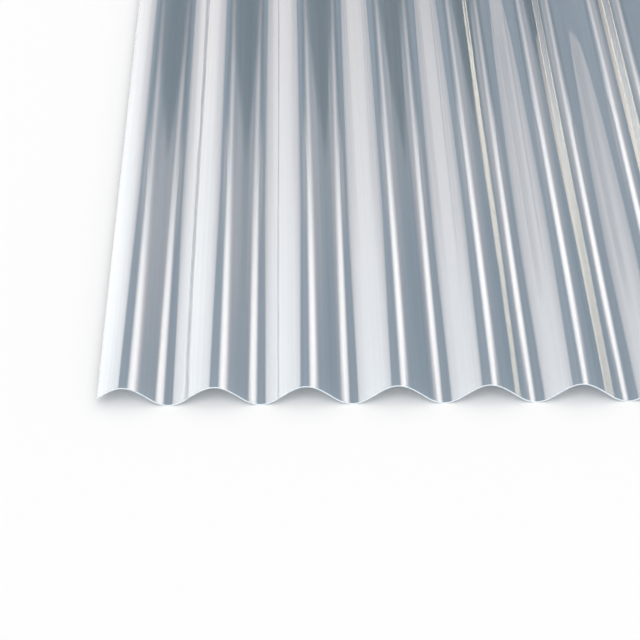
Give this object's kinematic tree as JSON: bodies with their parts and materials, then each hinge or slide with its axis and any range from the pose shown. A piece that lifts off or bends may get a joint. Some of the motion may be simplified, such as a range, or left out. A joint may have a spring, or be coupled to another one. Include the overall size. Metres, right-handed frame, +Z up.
{
  "type": "corrugated pvc sheet",
  "caption": "Long, thin, glossy grey-blue translucent plastic sheet with even sine-shaped corrugations along its length, for roofing or cladding.",
  "frame": {"origin": "on the floor, under the middle of the sheet's width and length, level with the undersides of its troughs", "axes": "+X across the corrugations, to the right as pictured; +Y along the corrugations, away from the end that the picture shows; +Z up, out of the crests"},
  "size_m": [0.9, 2, 0.018],
  "materials": {
    "translucent_pvc": "gloss"
  },
  "bodies": {
    "root": {"corrugated_sheet": "translucent_pvc"}
  },
  "joints": []
}
